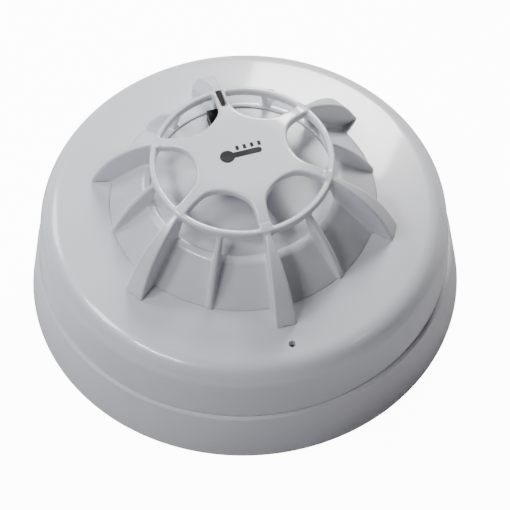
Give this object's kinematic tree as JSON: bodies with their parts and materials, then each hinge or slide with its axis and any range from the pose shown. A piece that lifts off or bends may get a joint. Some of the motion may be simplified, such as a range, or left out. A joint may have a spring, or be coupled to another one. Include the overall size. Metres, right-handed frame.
{
  "type": "heat detector",
  "caption": "Round point-type heat detector: a finned sensing head with a raised open cage, twist-locked onto a low mounting base with terminals and a cable entry.",
  "frame": {"origin": "centre of the mounting face, at the middle of the cable hole", "axes": "+Z out of the mounting surface towards the sensing end, -Y through the locking screw, +Y through the indicator"},
  "size_m": [0.1, 0.1, 0.0484],
  "materials": {
    "base_plastic": "moulded, satin gloss",
    "head_plastic": "moulded, gloss",
    "inner_plastic": "moulded, satin",
    "plated_steel": "zinc plated",
    "spring_contact": "bright spring strip",
    "board_laminate": "solder-resist gloss",
    "dark_lens": "polished",
    "led_epoxy": "clear moulded",
    "bead_coating": "dipped epoxy",
    "tinned_wire": "tinned",
    "insulating_sleeve": "extruded",
    "black_rubber": "matt",
    "chip_body": "moulded epoxy",
    "ceramic": "fired",
    "capacitor_can": "drawn can",
    "dark_steel": "blackened"
  },
  "bodies": {
    "base": {"mounting_base": "base_plastic", "terminal_plate_1": "plated_steel", "terminal_plate_2": "plated_steel", "terminal_plate_3": "plated_steel", "terminal_plate_4": "plated_steel", "clamp_washers": "plated_steel", "terminal_screws": "plated_steel"},
    "head": {"outer_cover": "head_plastic", "sensor_cage": "head_plastic", "sensor_chamber": "inner_plastic", "head_chassis": "inner_plastic", "circuit_board": "board_laminate", "contact_blade_1": "spring_contact", "contact_blade_2": "spring_contact", "contact_blade_3": "spring_contact", "contact_blade_4": "spring_contact", "cover_screws": "plated_steel", "board_screws": "plated_steel", "light_pipe": "dark_lens", "indicator_led": "led_epoxy", "thermistor_bead": "bead_coating", "thermistor_leads": "tinned_wire", "thermistor_sleeve": "insulating_sleeve", "thermistor_grommet": "black_rubber", "reference_thermistor": "bead_coating", "integrated_circuits": "chip_body", "chip_resistors": "chip_body", "chip_capacitors": "ceramic", "output_transistors": "chip_body", "storage_capacitor": "capacitor_can"},
    "lock_screw": {"locking_screw": "dark_steel"}
  },
  "joints": [
    {"name": "head_twist", "type": "hinge", "parent": "base", "child": "head", "pos_m": [0, 0, 0], "axis": [0, 0, 1], "range_deg": [0, 20]},
    {"name": "lock_screw_travel", "type": "slide", "parent": "head", "child": "lock_screw", "axis": [0, 0, 1], "range_m": [-0.002, 0]}
  ]
}
